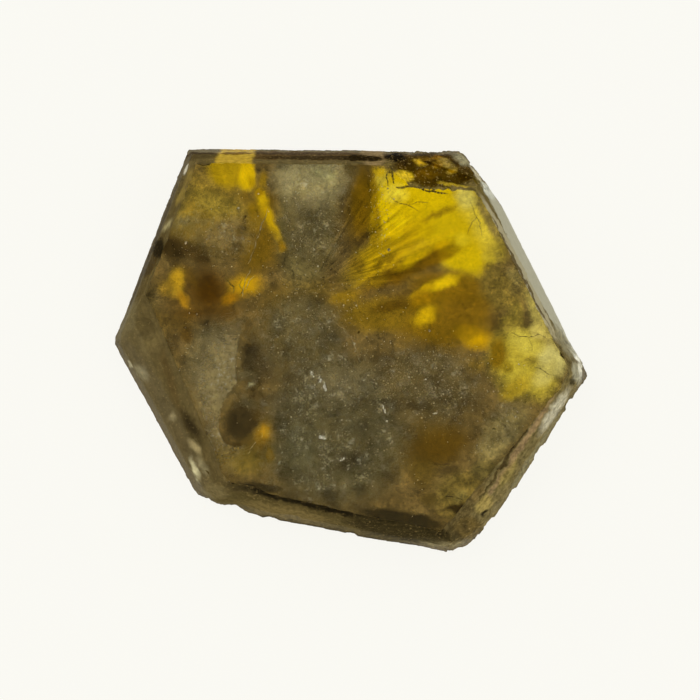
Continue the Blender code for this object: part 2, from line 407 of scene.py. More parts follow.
# Each place on the coat: x, y, half length, half width, turn, core, strength, cover, colour as it is seen.
COAT = {
    "top_band": (-3.8, 14.6, 9.85, 0.68, 0, 0.85, 1, 0.95, (74, 56, 28)),
    "top_corner": (-11.5, 14.6, 1.97, 0.61, 0, 0.6, 1, 0.95, (66, 55, 30)),
    "top_edge": (-3.8, 14.9, 14.39, 0.19, 0, 0.7, 0.8, 0.98, (50, 38, 22)),
    "top_pane": (-8.7, 14.6, 1.59, 3.48, 0, 0.75, 0.97, 0.9, (162, 134, 44)),
    "grey_patch": (1.8, 14.7, 1.14, 2.27, 0, 0.6, 0.75, 0.97, (124, 104, 70)),
    "break_ground": (6.6, 13.4, 3.79, 1.82, 0, 0.75, 1, 0.97, (52, 36, 4)),
    "break_black": (3.5, 14.4, 1.06, 0.76, 0, 0.6, 1, 0.98, (14, 9, 4)),
    # A painted gold glint on the broken corner.
    "break_gold": (5.3, 13.9, 0.68, 0.38, -25, 0, 1, 0.95, (196, 160, 34)),
    "break_amber": (6.7, 14.5, 0.68, 0.45, 30, 0.3, 0.65, 0.95, (132, 94, 14)),
    # A painted gold glint on the broken corner.
    "break_gold_2": (7.3, 13.9, 0.91, 0.53, -40, 0.3, 0.9, 0.95, (138, 116, 50)),
    "break_foot": (6.4, 12.2, 2.2, 0.49, -3, 0.5, 0.95, 0.97, (46, 30, 3)),
    "break_grey": (8.6, 14.3, 1.14, 0.68, -40, 0.4, 0.95, 0.97, (134, 128, 98)),
    "break_dark": (8.9, 13.4, 0.61, 0.68, -30, 0.3, 0.95, 0.97, (58, 42, 12)),
    "break_edge": (9.7, 13.3, 1.21, 0.45, -62, 0.4, 0.95, 0.97, (170, 162, 134)),
    # A painted pale gold glint on the broken corner.
    "break_gold_3": (7.8, 13.2, 0.61, 0.38, 20, 0.1, 0.95, 0.95, (150, 124, 42)),
    "upper_right_inner": (12.7, 5.6, 6.82, 0.57, -62.5, 0.8, 0.95, 0.93, (152, 144, 116)),
    # The pale grey of this prism face is partly frost and partly a painted reflection of the room; its top is
    # palest.
    "upper_right_frost_and_sheen": (14.0, 5.7, 8.18, 0.83, -62.3, 0.88, 1, 0.98, (155, 152, 132)),
    "upper_right_top_frost_and_sheen": (10.6, 12.0, 1.06, 0.61, -62, 0.5, 1, 0.98, (176, 176, 162)),
    "upper_right_foot": (16.2, 0.3, 1.97, 0.68, -62, 0.4, 0.85, 0.98, (124, 118, 92)),
    "upper_right_line": (12.8, 5.3, 6.97, 0.15, -62.5, 0.5, 0.85, 0.98, (72, 58, 28)),
    "lower_right_ground": (13.2, -8.1, 8.33, 1.67, 57, 0.85, 1, 0.96, (104, 92, 56)),
    "lower_right_line": (12.3, -7.6, 6.67, 0.18, 57, 0.5, 0.9, 0.98, (60, 48, 25)),
    "lower_right_pink": (12.7, -7.8, 6.06, 0.3, 57, 0.5, 0.95, 0.95, (132, 110, 76)),
    # Whitish frosted chips and olive chips on the lower right rim, with painted glints on them.
    "lower_right_chips_and_glints": (15.4, -5.0, 2.73, 0.61, 55, 0.4, 0.85, 0.97, (172, 166, 142)),
    "lower_right_olive_and_glints": (11.8, -9.7, 1.67, 0.53, 57, 0.4, 0.6, 0.95, (136, 120, 62)),
    "lower_right_outer": (14.1, -8.1, 4.55, 0.3, 57, 0.6, 0.9, 0.97, (112, 104, 72)),
    "lower_right_pane": (10.0, -12.0, 1.06, 0.61, 45, 0.5, 0.9, 0.9, (144, 126, 68)),
    "lower_right_spot": (10.1, -12.6, 0.45, 0.19, 50, 0.5, 1, 0.98, (30, 26, 14)),
    "lower_right_spot_2": (12.0, -7.8, 0.3, 0.23, 57, 0.5, 1, 0.98, (34, 28, 16)),
    "nub": (17.2, -2.1, 0.68, 1.06, 10, 0.5, 0.95, 0.96, (146, 142, 118)),
    "nub_dark": (16.8, -2.7, 0.38, 0.53, -30, 0.3, 0.9, 0.98, (54, 48, 30)),
    "low_end": (8.9, -13.8, 1.52, 1.06, 0, 0.5, 0.95, 0.95, (82, 67, 32)),
    # Painted glints at the lower right end of the rim.
    "low_end_glints": (7.5, -14.8, 1.36, 0.45, -10, 0.3, 0.8, 0.97, (150, 140, 104)),
    "bottom_ground": (-1.5, -13.0, 10.61, 1.06, -10.3, 0.85, 1, 0.96, (76, 65, 35)),
    "bottom_amber": (-4.9, -12.6, 4.55, 0.68, -11, 0.4, 0.85, 0.95, (100, 85, 48)),
    "bottom_line": (-1.6, -12.1, 8.79, 0.57, -12, 0.6, 1, 0.98, (26, 21, 10)),
    "bottom_edge": (-1.5, -13.9, 9.85, 0.15, -10.5, 0.6, 0.7, 0.98, (54, 46, 26)),
    # Painted glints at the right end of the bottom rim.
    "bottom_glints": (6.3, -14.8, 1.82, 0.38, -9, 0.4, 0.95, 0.97, (146, 134, 96)),
    "lower_left_ground": (-14.4, -5.3, 7.88, 1.52, -60, 0.85, 1, 0.93, (82, 71, 45)),
    "lower_left_grey": (-15.8, -2.0, 1.21, 0.61, -50, 0.1, 0.8, 0.95, (126, 118, 90)),
    "lower_left_dot": (-16.8, -1.3, 0.45, 0.23, -60, 0.3, 0.8, 0.97, (152, 144, 114)),
    "lower_left_brown": (-12.8, -7.1, 1.67, 0.68, -61, 0.4, 0.7, 0.95, (82, 70, 43)),
    "lower_left_glint": (-13.4, -5.4, 0.53, 0.38, -60, 0, 0.7, 0.95, (142, 130, 94)),
    # Painted shadow in the groove along the inner edge of the lower left band.
    "lower_left_groove_shadow": (-11.9, -6.1, 2.58, 0.68, -58, 0.05, 0.95, 0.97, (34, 27, 14)),
    # A painted glint low on the lower left band.
    "lower_left_pale_glint": (-11.7, -9.3, 1.29, 0.38, -68, 0.1, 0.95, 0.97, (186, 178, 138)),
    "low_left_corner": (-10.2, -11.0, 1.52, 0.76, -10, 0.4, 0.9, 0.95, (98, 86, 54)),
    "upper_left_ground": (-15.1, 7.7, 7.88, 1.14, 69, 0.85, 1, 0.9, (70, 58, 30)),
    "upper_left_low": (-16.9, 2.1, 1.97, 1.14, 69, 0.5, 0.9, 0.9, (90, 80, 52)),
    "upper_left_black": (-14.5, 7.3, 0.83, 1.21, 10, 0.5, 1, 0.97, (30, 24, 12)),
    "upper_left_wisp": (-13.8, 9.0, 0.83, 0.53, 30, 0.1, 1, 0.9, (140, 130, 90)),
    "upper_left_high": (-12.7, 11.2, 1.06, 0.61, 62, 0.3, 0.85, 0.9, (122, 104, 48)),
    "upper_left_rim": (-15.2, 7.6, 7.88, 0.19, 69, 0.5, 0.8, 0.97, (50, 41, 24)),
    # A painted highlight on a small chip at the upper left corner.
    "upper_left_chip_highlight": (-12.5, 13.6, 0.3, 0.68, -15, 0.3, 0.9, 0.98, (186, 180, 160)),
    "top_pane_edge": (-8.7, 14.9, 1.67, 0.26, 0, 0.6, 0.95, 0.95, (92, 68, 18)),
    "top_low": (-2.7, 14.3, 5.0, 0.38, 0, 0.6, 0.95, 0.97, (42, 31, 12)),
    "top_low_dark": (0.9, 14.3, 2.12, 0.53, 0, 0.6, 1, 0.98, (24, 16, 4)),
    "break_gold_low": (4.1, 12.6, 0.91, 0.64, -10, 0.4, 1, 0.9, (196, 166, 34)),
    "break_gold_mid": (5.7, 14.2, 0.98, 0.61, 10, 0.1, 0.6, 0.95, (104, 76, 14)),
    "bottom_dark_half": (3.9, -13.9, 5.3, 0.98, -10, 0.6, 0.95, 0.97, (46, 39, 20)),
    "lower_left_pale_2": (-11.6, -7.7, 1.06, 0.45, -55, 0.1, 0.9, 0.97, (160, 144, 100)),
    "upper_left_mid": (-15.3, 6.0, 1.14, 1.06, 69, 0.4, 0.95, 0.9, (50, 38, 16)),
    "upper_left_top": (-12.1, 12.6, 1.06, 0.61, 65, 0.3, 0.8, 0.9, (116, 98, 46)),
    "lower_right_inner": (9.5, -11.2, 0.91, 0.45, 55, 0.4, 0.8, 0.95, (100, 83, 46)),
    # Painted highlights along the top and outer side of the knob.
    "nub_top_highlight": (17.5, -0.8, 0.53, 0.38, 0, 0.4, 0.9, 0.96, (208, 206, 192)),
    "nub_side_highlight": (17.6, -1.8, 0.38, 0.98, 0, 0.4, 0.95, 0.96, (198, 194, 174)),
    "break_black_low": (4.1, 13.8, 0.68, 0.38, -20, 0.4, 0.9, 0.98, (40, 28, 8)),
    # Painted shadow running down the lower left band, at the edge of the upper face.
    "lower_left_shadow_column": (-13.5, -2.5, 3.48, 0.53, -74, 0.3, 0.85, 0.95, (80, 65, 35)),
    "lower_left_haze": (-14.9, 0.1, 1.06, 1.52, -60, 0.2, 0.7, 0.9, (104, 90, 54)),
    "lower_left_bright": (-11.0, -9.1, 1.06, 0.53, -60, 0.1, 0.9, 0.95, (134, 124, 90)),
    "break_gold_right": (7.9, 12.0, 1.52, 0.27, -6, 0.4, 0.9, 0.9, (158, 134, 36)),
    "break_amber_2": (6.7, 13.7, 0.76, 0.53, 30, 0.3, 0.65, 0.95, (132, 100, 16)),
    "break_dark_low": (5.7, 12.9, 1.29, 0.68, 0, 0.4, 1, 0.97, (78, 54, 4)),
}


def oval(place, x, y, length, width, turn, core):
    """1 inside an oval of these half sizes, in millimetres, easing to 0 from its core to its edge."""
    if turn:
        place = place.node("VectorRotate", {"rotation_type": "Z_AXIS"},
                           {"Vector": place, "Center": (x, y, 0.0), "Angle": radians(-turn)})
    held = place.vector("MULTIPLY_ADD", (1.0 / length, 1.0 / width, 0.0), (-x / length, -y / width, 0.0))
    return held.vector("LENGTH", output=1).smooth(1.0, core)


def swayed(place, seed, size, reach, rough=0.6, height=0.0):
    """The flat place, moved about by noise of that size and reach, so that edges drawn there wander."""
    flat = place.vector("MULTIPLY", (1.0, 1.0, height))
    drift = place.node("TexNoise", None, {"Vector": flat.aside(seed), "Scale": 1.0 / size,
                                          "Detail": 6.0, "Roughness": rough}, output=1)
    shift = drift.vector("SUBTRACT", (0.5, 0.5, 0.5)).vector("MULTIPLY", (reach, reach, 0.0))
    return shift.vector("ADD", flat)


def lit(colour, light):
    """What a dull thing has to be to show as this colour where that much light falls on it."""
    return tuple(min(part / light, 0.92) for part in shown(*colour))


def coat_mesh():
    mesh = bpy.data.meshes.new("rim_coat")
    points = ring_points(*rim_rings[0], SKIN_INSET)
    points += [point for ring in rim_rings for point in ring_points(*ring, 0.0)]
    points += ring_points(*rim_rings[-1], SKIN_INSET)
    mesh.from_pydata(points, [], rim_faces(SKIN_COLUMNS, SKIN_ROWS + 2))
    mesh.shade_smooth()
    wear = mesh.attributes.new("wear", "FLOAT", "POINT")
    rough = np.interp(np.degrees(rim_bearings), *zip(*COAT_ROUGHNESS))
    wear.data.foreach_set("value", np.tile(rough, SKIN_ROWS + 2).astype(np.float32))
    return mesh


def coat_material():
    material, shader, place = new_material("stained_coat")
    moved = swayed(place, 2.0, 0.8, 0.8, height=0.7)
    colour = place.constant((*lit(COAT_GROUND, COAT_LIGHT), 1.0))
    cover = 0.9
    for x, y, length, width, turn, core, strength, hiding, shade in COAT.values():
        inside = oval(moved, x, y, length, width, turn, core) * strength
        colour = colour.blend(lit(shade, COAT_LIGHT), inside)
        cover = inside * (hiding - cover) + cover
    wear = place.node("Attribute", {"attribute_name": "wear"}, output=2)
    lumps = place.grain(0.4, detail=6.0, rough=0.62).smooth(0.28, 0.72, -0.5, 0.55)
    lines = place.vector("MULTIPLY", (0.5, 0.5, 5.0)).grain(0.8, detail=2.0).smooth(0.3, 0.7, -0.15, 0.15)
    # Pale specks where the rim is worn and broken: partly grain, partly painted glints.
    specks_and_glints = place.grain(0.22, detail=4.0, rough=0.7).smooth(0.56, 0.70) * wear
    colour = colour.scaled((lumps + lines) * wear + 1.0).blend(lit(COAT_SPECK_AND_GLINT, COAT_LIGHT), specks_and_glints * 0.5)
    feed(shader, Base_Color=colour, Alpha=cover, Roughness=0.6, Specular_IOR_Level=0.0)
    return material


link_piece("rim_coat", coat_mesh(), coat_material())

# ---- Growth zones ----------------------------------------------------------------------------------------
# Six arms and six windows that the crystal grew in, told apart by their smoky grey, brown and yellow. They
# are colour in the quartz itself, held here on two waving films sealed in the slice, but the dark band along
# the lower rim is painted shade.

FILM_INSET = 0.25 * MM
FILM_RINGS = 60
FILM_COLUMNS = 360
SECTOR_EASE = 0.2
HEART = (-3.1, 4.2)  # where the arms meet, in millimetres
FILM_CLEARNESS = (0.82, 0.73, 0.42)  # what shows through the slice where both films are clear
ZONE_GROUND = (104, 84, 44)
IRON_STAIN = (84, 62, 16)
LARGE_ZONE = 4.5  # zones with a larger half length times half width than this wander further
# Each zone: x, y, half length, half width, turn, core, strength, colour as seen with the lit table behind.
ZONES = {
    "gold_ground_right": (6.8, 2.0, 5.66, 3.32, -8, 0.45, 0.95, (113, 84, 8)),
    "gold_ground_streak": (-6.7, 8.6, 2.56, 4.68, -8, 0.4, 0.9, (110, 82, 8)),
    "gold_ground_heart": (-3.8, 3.7, 4.68, 1.96, 10, 0.3, 0.6, (111, 85, 20)),
    "gold_ground_left": (-10.9, 3.4, 3.92, 3.02, -8, 0.4, 0.6, (92, 64, 12)),
    "gold_ground_low_right": (5.4, -7.6, 3.77, 3.02, 30, 0.4, 0.7, (92, 70, 18)),
    "gold_ground_low": (-6.6, -7.6, 2.11, 2.26, 0, 0.3, 0.6, (104, 80, 18)),
    "upper_left_haze": (-11.0, 10.6, 4.98, 4.53, 0, 0.2, 0.9, (140, 114, 38)),
    "top_arm": (-3.3, 9.3, 6.49, 3.02, 88, 0.55, 0.95, (104, 91, 52)),
    "top_arm_head": (-2.9, 12.6, 3.92, 3.02, 0, 0.25, 0.95, (174, 160, 112)),
    "top_arm_right": (0.2, 9.9, 3.62, 0.91, 90, 0.3, 0.8, (98, 74, 16)),
    "upper_left_window": (-9.1, 13.5, 2.19, 1.89, -8, 0.6, 1, (164, 132, 12)),
    "upper_left_deep": (-7.8, 12.8, 0.83, 1.51, -4, 0.5, 1, (212, 172, 6)),
    "upper_left_foot": (-8.0, 11.3, 0.75, 0.38, 0, 0.3, 0.7, (104, 78, 10)),
    "yellow_streak": (-6.1, 9.6, 2.94, 0.6, -62, 0.05, 1, (188, 150, 8)),
    "yellow_streak_top": (-6.7, 11.3, 0.98, 0.45, -60, 0.3, 0.9, (196, 158, 8)),
    "upper_left_arm": (-9.2, 8.3, 3.02, 2.26, 20, 0.35, 0.85, (124, 102, 50)),
    "upper_left_olive": (-10.2, 10.8, 2.87, 1.21, -20, 0.3, 0.8, (140, 118, 44)),
    "upper_left_dark": (-13.5, 7.4, 1.96, 1.28, -30, 0.35, 0.97, (56, 42, 16)),
    "upper_left_edge": (-13.0, 10.6, 3.17, 0.75, 62, 0.3, 0.8, (104, 88, 42)),
    "left_shadow": (-11.5, 6.7, 2.56, 0.83, -45, 0.3, 0.85, (72, 54, 22)),
    "left_olive": (-15.3, 3.4, 1.66, 2.56, 10, 0.2, 0.7, (96, 80, 42)),
    "left_glow": (-13.1, 4.8, 0.91, 1.58, -8, 0.35, 0.97, (186, 144, 30)),
    "left_glow_wide": (-13.8, 4.3, 0.98, 0.98, -20, 0.3, 0.8, (146, 114, 34)),
    "left_glow_low": (-12.6, 3.4, 0.53, 0.98, 30, 0.3, 0.9, (170, 124, 22)),
    "left_smudge_4": (-13.0, 0.1, 0.53, 0.98, 10, 0.3, 0.7, (74, 58, 30)),
    "left_orange": (-7.9, 4.5, 2.04, 1.21, 8, 0.05, 1, (198, 150, 8)),
    "left_orange_hot": (-8.0, 4.7, 0.75, 0.45, 30, 0.2, 0.8, (222, 176, 12)),
    "left_orange_foot": (-9.1, 3.5, 1.13, 0.68, 20, 0.3, 0.95, (156, 110, 12)),
    "left_brown": (-10.7, 4.0, 2.04, 2.11, 0, 0.15, 0.98, (78, 50, 6)),
    "left_brown_dark": (-10.8, 5.1, 1.28, 0.6, -40, 0.1, 0.7, (64, 42, 8)),
    "left_brown_band": (-10.9, 2.2, 3.17, 0.83, 3, 0.35, 0.97, (78, 52, 8)),
    "left_brown_edge": (-12.1, 5.2, 0.6, 1.66, 30, 0.3, 0.6, (96, 70, 16)),
    "left_foot": (-13.4, 1.7, 3.39, 1.36, -10, 0.2, 0.7, (100, 78, 32)),
    "left_arm": (-10.4, -1.3, 2.87, 4.38, 0, 0.4, 0.95, (106, 93, 60)),
    "left_haze": (-15.4, -0.4, 1.96, 2.56, 25, 0.2, 0.9, (95, 82, 50)),
    "middle": (-3.5, 1.1, 3.77, 4.22, 0, 0.45, 0.85, (102, 87, 48)),
    "bottom_arm": (-1.0, -6.6, 7.24, 6.79, 60, 0.55, 0.9, (88, 78, 49)),
    "window_high": (5.6, 10.6, 5.58, 3.62, 0, 0.65, 1, (208, 174, 2)),
    "window_right": (8.3, 8.0, 3.92, 2.72, -62, 0.55, 1, (202, 170, 6)),
    "window_pale": (10.0, 9.3, 1.66, 4.22, 28, 0.25, 0.9, (206, 180, 52)),
    "window_inner": (2.9, 7.0, 4.98, 2.11, 37, 0.3, 0.95, (184, 148, 5)),
    "window_left_edge": (1.2, 11.0, 4.07, 1.28, -86, 0.3, 0.97, (94, 69, 2)),
    "window_pale_left": (2.4, 12.7, 1.06, 0.68, 70, 0.3, 0.8, (206, 180, 52)),
    "window_pale_tri": (3.5, 11.5, 1.36, 1.06, -15, 0.3, 0.9, (226, 198, 52)),
    "window_ray_1": (2.3, 5.8, 3.62, 0.3, 33, 0.3, 0.8, (196, 156, 14)),
    "window_ray_3": (3.5, 8.9, 3.02, 0.38, 30, 0.3, 0.7, (214, 180, 8)),
    "window_ray_4": (6.8, 10.0, 2.26, 0.3, 20, 0.3, 0.7, (138, 106, 10)),
    "window_ray_5": (5.7, 7.6, 3.77, 0.3, 27, 0.3, 0.8, (202, 166, 8)),
    "window_streak": (4.7, 6.0, 5.88, 0.98, 27, 0.35, 0.97, (108, 76, 2)),
    "window_streak_low": (6.9, 6.6, 1.81, 0.53, 24, 0.3, 0.8, (126, 92, 2)),
    "right_band": (8.2, 4.2, 5.28, 1.66, -12, 0.4, 0.95, (124, 92, 8)),
    "bright_spot_1": (7.0, 4.7, 2.11, 0.68, 20, 0.1, 1, (228, 188, 10)),
    "bright_spot_1b": (5.2, 3.9, 1.36, 0.38, 28, 0.3, 0.8, (168, 130, 8)),
    "bright_spot_2": (5.7, 2.2, 1.58, 1.02, 35, 0.15, 1, (210, 168, 10)),
    "olive_wedge": (11.5, 4.2, 2.72, 1.81, -50, 0.5, 0.95, (118, 98, 40)),
    "olive_dark": (12.6, 4.3, 0.75, 0.91, -30, 0.3, 0.7, (88, 74, 38)),
    "inner_right": (1.8, 2.3, 3.92, 1.81, 0, 0.4, 0.95, (124, 96, 18)),
    "heart_gold": (-0.4, 3.6, 1.81, 0.75, 15, 0.3, 0.85, (150, 116, 20)),
    "right_arm": (5.9, -3.0, 4.98, 3.77, -12, 0.45, 0.95, (96, 80, 44)),
    "lemon_window": (13.1, -1.5, 3.77, 2.87, -50, 0.5, 1, (178, 156, 50)),
    "lemon_edge": (15.2, -1.1, 1.81, 1.36, -60, 0.4, 0.95, (208, 192, 112)),
    "lemon_deep": (13.3, 0.2, 1.96, 1.13, -30, 0.35, 0.9, (212, 190, 74)),
    "lemon_low": (12.5, -3.3, 1.81, 1.06, 40, 0.3, 0.85, (168, 140, 34)),
    "orange_spot": (9.7, 0.4, 1.66, 1.13, 0, 0.1, 1, (194, 148, 4)),
    "right_foot": (11.3, -6.9, 4.07, 1.66, 54, 0.35, 0.9, (128, 112, 66)),
    "lower_right_brown": (6.9, -7.6, 3.32, 1.89, 20, 0.35, 0.95, (88, 64, 14)),
    "right_arm_dark": (7.2, -4.2, 2.87, 0.68, -8, 0.3, 0.9, (62, 46, 18)),
    "right_arm_dark_2": (5.6, -3.4, 1.66, 0.53, -10, 0.3, 0.6, (70, 54, 26)),
    "bottom_dark": (0.2, -8.8, 1.51, 1.06, 10, 0.3, 0.7, (62, 50, 28)),
    "bottom_grey": (-3.7, -7.5, 1.81, 3.02, -10, 0.3, 0.5, (98, 93, 64)),
    "olive_pane": (8.1, -11.1, 2.56, 1.96, 30, 0.45, 0.95, (122, 102, 46)),
    "olive_pane_foot": (7.9, -12.4, 1.81, 0.6, 15, 0.4, 1, (52, 40, 16)),
    "dark_patch": (-7.4, -0.6, 1.13, 1.21, -8, 0.3, 0.95, (50, 40, 20)),
    "dark_lobe": (-8.1, -5.7, 1.81, 2.11, -20, 0.45, 0.97, (60, 48, 24)),
    "low_orange": (-6.4, -6.7, 1.06, 1.51, -15, 0, 1, (168, 124, 14)),
    "low_amber": (-7.8, -8.8, 1.96, 1.51, 0, 0.3, 0.9, (116, 96, 38)),
    "lemon_side": (14.6, 2.0, 3.32, 1.06, -62, 0.4, 0.9, (170, 152, 76)),
    "lemon_top": (12.3, 1.8, 1.21, 0.91, 0, 0.3, 0.9, (146, 125, 46)),
    "lemon_dark": (13.6, -1.2, 0.75, 0.53, 20, 0.3, 0.7, (136, 116, 38)),
    "lemon_left_shade": (11.2, -0.7, 0.98, 1.81, -8, 0.35, 0.95, (120, 90, 6)),
    "window_ray_6": (4.9, 6.6, 2.26, 0.6, 34, 0.3, 0.97, (196, 160, 4)),
    "inner_left_shade": (0.6, 6.1, 0.98, 0.91, 0, 0.3, 0.7, (108, 82, 14)),
    "inner_right_shade": (3.0, 2.9, 1.96, 0.6, 12, 0.3, 0.8, (90, 64, 8)),
    "window_brink": (10.5, 9.6, 3.17, 0.53, -62, 0.4, 0.97, (132, 112, 54)),
    "orange_left": (8.8, 1.0, 1.36, 0.91, 0, 0.4, 0.95, (150, 114, 8)),
    "upper_left_spur": (-6.9, 11.6, 0.53, 0.38, 0, 0.3, 0.85, (142, 106, 4)),
    "heart_foot": (-0.7, -3.1, 3.17, 2.11, 0, 0.3, 0.8, (128, 114, 78)),
    "brown_foot": (5.6, -9.7, 1.36, 1.81, 0, 0.3, 0.7, (90, 71, 24)),
    "window_left_gold": (1.9, 11.3, 3.47, 0.38, -86, 0.3, 0.8, (140, 108, 3)),
    "left_smudge_5": (-12.3, 0.7, 0.68, 0.98, 0, 0.3, 0.9, (82, 60, 20)),
    "arm_hollow": (5.3, -4.6, 1.51, 0.75, -8, 0.3, 0.9, (52, 40, 16)),
    "dark_patch_wide": (-6.6, -1.3, 1.81, 2.41, -10, 0.1, 0.75, (72, 60, 36)),
    "window_left": (3.3, 9.7, 1.21, 1.66, 0, 0.3, 0.9, (234, 196, 6)),
    # Painted shade darkening the slice along its lower rim.
    "bottom_rim_shade": (3.9, -13.1, 4.68, 0.83, -10, 0.5, 0.97, (46, 38, 20)),
    "bottom_rim_shade_2": (-6.9, -10.7, 2.56, 0.45, -9, 0.4, 0.95, (48, 40, 21)),
    "veil_foot": (-8.3, -7.6, 0.98, 0.38, 0, 0.3, 0.8, (68, 52, 20)),
    "spur_gold": (-7.4, 12.4, 0.53, 0.53, 0, 0.3, 0.9, (172, 136, 4)),
    "lemon_foot": (14.7, -2.2, 1.66, 0.98, 55, 0.3, 0.9, (196, 178, 92)),
    "left_inner_gold": (-7.2, 9.3, 1.21, 0.75, 60, 0.3, 0.7, (134, 104, 24)),
    "upper_left_misty": (-12.9, 9.3, 1.06, 0.68, 20, 0.2, 0.8, (130, 113, 64)),
    "low_orange_shade": (-6.6, -5.4, 0.91, 0.68, 0, 0.3, 0.8, (74, 56, 18)),
    "spot_link": (2.1, 4.8, 1.36, 0.6, 20, 0.3, 0.8, (146, 114, 14)),
    "top_arm_gap": (0.0, 13.5, 0.75, 0.91, 0, 0.3, 0.85, (80, 64, 26)),
    "top_arm_mid": (-3.9, 11.2, 1.06, 1.06, 0, 0.2, 0.7, (106, 92, 54)),
    "corner_olive": (12.5, 5.2, 1.06, 0.75, -60, 0.3, 0.9, (152, 132, 72)),
    "foot_left": (10.1, -9.4, 1.36, 0.98, 20, 0.3, 0.85, (136, 118, 62)),
    "foot_mid": (11.9, -6.7, 1.21, 0.91, 54, 0.3, 0.8, (136, 120, 76)),
    "window_corner": (2.3, 13.2, 0.68, 0.53, 0, 0.4, 0.9, (190, 156, 16)),
    "lemon_bright": (14.1, 1.0, 0.91, 0.68, -40, 0.4, 0.95, (206, 184, 92)),
    "olive_light": (12.6, 2.6, 0.91, 0.68, -50, 0.3, 0.85, (152, 130, 52)),
    "window_corner_pale": (8.8, 11.3, 1.51, 1.06, -60, 0.3, 0.8, (208, 190, 92)),
    "window_shade": (2.6, 6.3, 1.66, 0.45, 33, 0.3, 0.9, (112, 86, 6)),
    "window_mid": (8.6, 8.0, 0.91, 0.75, 0, 0.3, 0.9, (216, 186, 26)),
    "window_mid_2": (6.9, 7.6, 0.83, 0.45, 25, 0.3, 0.9, (200, 160, 2)),
    "band_gold": (5.5, 3.4, 1.51, 0.6, 20, 0.3, 0.85, (150, 112, 4)),
    "arm_light": (9.5, -1.6, 1.06, 0.75, 0, 0.2, 0.85, (142, 114, 44)),
    "pane_left": (5.9, -11.6, 1.06, 0.75, 0, 0.3, 0.85, (78, 62, 24)),
    "lemon_shade_low": (11.9, -1.7, 0.68, 0.68, 0, 0.3, 0.8, (132, 108, 20)),
    "dark_patch_low": (-7.6, -1.6, 0.91, 1.13, -10, 0.3, 0.9, (58, 48, 26)),
    "foot_pane": (8.3, -11.4, 0.75, 0.6, 40, 0.3, 0.9, (146, 126, 64)),
    "bottom_glow": (7.2, -12.7, 0.91, 0.38, -5, 0.3, 0.8, (128, 106, 50)),
    "heart_soft": (-2.6, 4.3, 1.96, 1.06, 0, 0.1, 0.5, (124, 100, 40)),
    "band_low": (8.5, 2.5, 2.56, 1.21, -8, 0.4, 0.9, (124, 92, 14)),
    "gap_gold": (0.8, 10.5, 3.47, 0.91, 90, 0.4, 0.85, (114, 84, 4)),
    "gap_bright": (1.9, 8.6, 0.68, 1.96, 0, 0.3, 0.8, (152, 120, 4)),
    "window_bright": (3.5, 8.5, 0.91, 0.75, 0, 0.3, 0.9, (216, 178, 4)),
    "window_low_right": (10.5, 6.6, 0.75, 0.6, 0, 0.3, 0.85, (198, 172, 44)),
    "spot_1_left": (6.0, 4.4, 0.75, 0.38, 20, 0.3, 0.9, (192, 154, 8)),
    "deep_side": (-6.6, 12.6, 0.53, 0.91, 0, 0.3, 0.8, (148, 116, 12)),
    "streak_foot": (-5.2, 7.5, 0.68, 0.45, -60, 0.3, 0.9, (152, 114, 10)),
    "streak_side": (-7.4, 10.3, 0.6, 0.68, 0, 0.2, 0.8, (148, 114, 10)),
    "arm_dark_3": (8.5, -3.7, 1.06, 0.6, -10, 0.2, 0.8, (66, 52, 22)),
    "low_orange_foot": (-6.0, -8.3, 0.45, 1.06, 10, 0.2, 0.85, (136, 104, 14)),
    "low_orange_hot": (-6.4, -6.6, 0.38, 0.68, -20, 0.1, 0.85, (214, 162, 22)),
}


def sheet_inside(name, level, relief, seed):
    """A gently waving sheet across the slice at that height, a little clear of its rim."""
    turns = even_bearings(FILM_COLUMNS)
    points = [(0.0, 0.0, level)]
    faces = []
    for ring in range(1, FILM_RINGS + 1):
        for bearing in turns:
            reach = (rim_reach(bearing, level) - FILM_INSET) * ring / FILM_RINGS
            x, y = reach * cos(bearing), reach * sin(bearing)
            wave = noise.noise(Vector((x / (6 * MM), y / (6 * MM), seed))) * relief
            points.append((x, y, level + wave))
    for column in range(FILM_COLUMNS):
        after = (column + 1) % FILM_COLUMNS
        faces.append((0, 1 + column, 1 + after))
        for ring in range(FILM_RINGS - 1):
            low, high = 1 + ring * FILM_COLUMNS, 1 + (ring + 1) * FILM_COLUMNS
            faces.append((low + column, high + column, high + after, low + after))
    mesh = bpy.data.meshes.new(name)
    mesh.from_pydata(points, [], faces)
    mesh.shade_smooth()
    return mesh


def around_heart(flat):
    """The bearing from where the arms meet, in radians, and the distance from it."""
    away = flat.vector("SUBTRACT", (*HEART, 0.0))
    return away.part(1).maths("ARCTAN2", away.part(0)), away.vector("LENGTH", output=1)


def fibres(flat, seed, fineness, run):
    """Threads that run out from the heart like the spokes of a wheel, from about 0 to 1."""
    bearing, distance = around_heart(flat)
    spread = bearing.node("CombineXYZ", None, {0: bearing * fineness, 1: distance * run, 2: seed})
    return spread.grain(1.0, detail=3.0, rough=0.55)


def sector(flat, first, last):
    """1 between two bearings from the heart, in radians, easing to 0 outside them."""
    bearing = around_heart(flat)[0]
    return bearing.smooth(first - SECTOR_EASE, first) * bearing.smooth(last + SECTOR_EASE, last)


def feathered(place, seed, sway, feather):
    """The flat place moved about a little, and along the fibres, so that what is drawn has a grown edge."""
    flat = place.vector("MULTIPLY", (1.0, 1.0, 0.0))
    outward = flat.vector("SUBTRACT", (*HEART, 0.0)).vector("NORMALIZE")
    pull = (fibres(flat, seed, 7.0, 0.12) - 0.5) * feather
    shift = outward.scaled(pull)
    return flat, swayed(place, seed, 1.6, sway).vector("ADD", shift)


def through(red, green, blue):
    """What a film has to let through to show as this colour with the lit table behind it."""
    return tuple(min(part / whole, 1.0) for part, whole in zip(shown(red, green, blue), FILM_CLEARNESS))


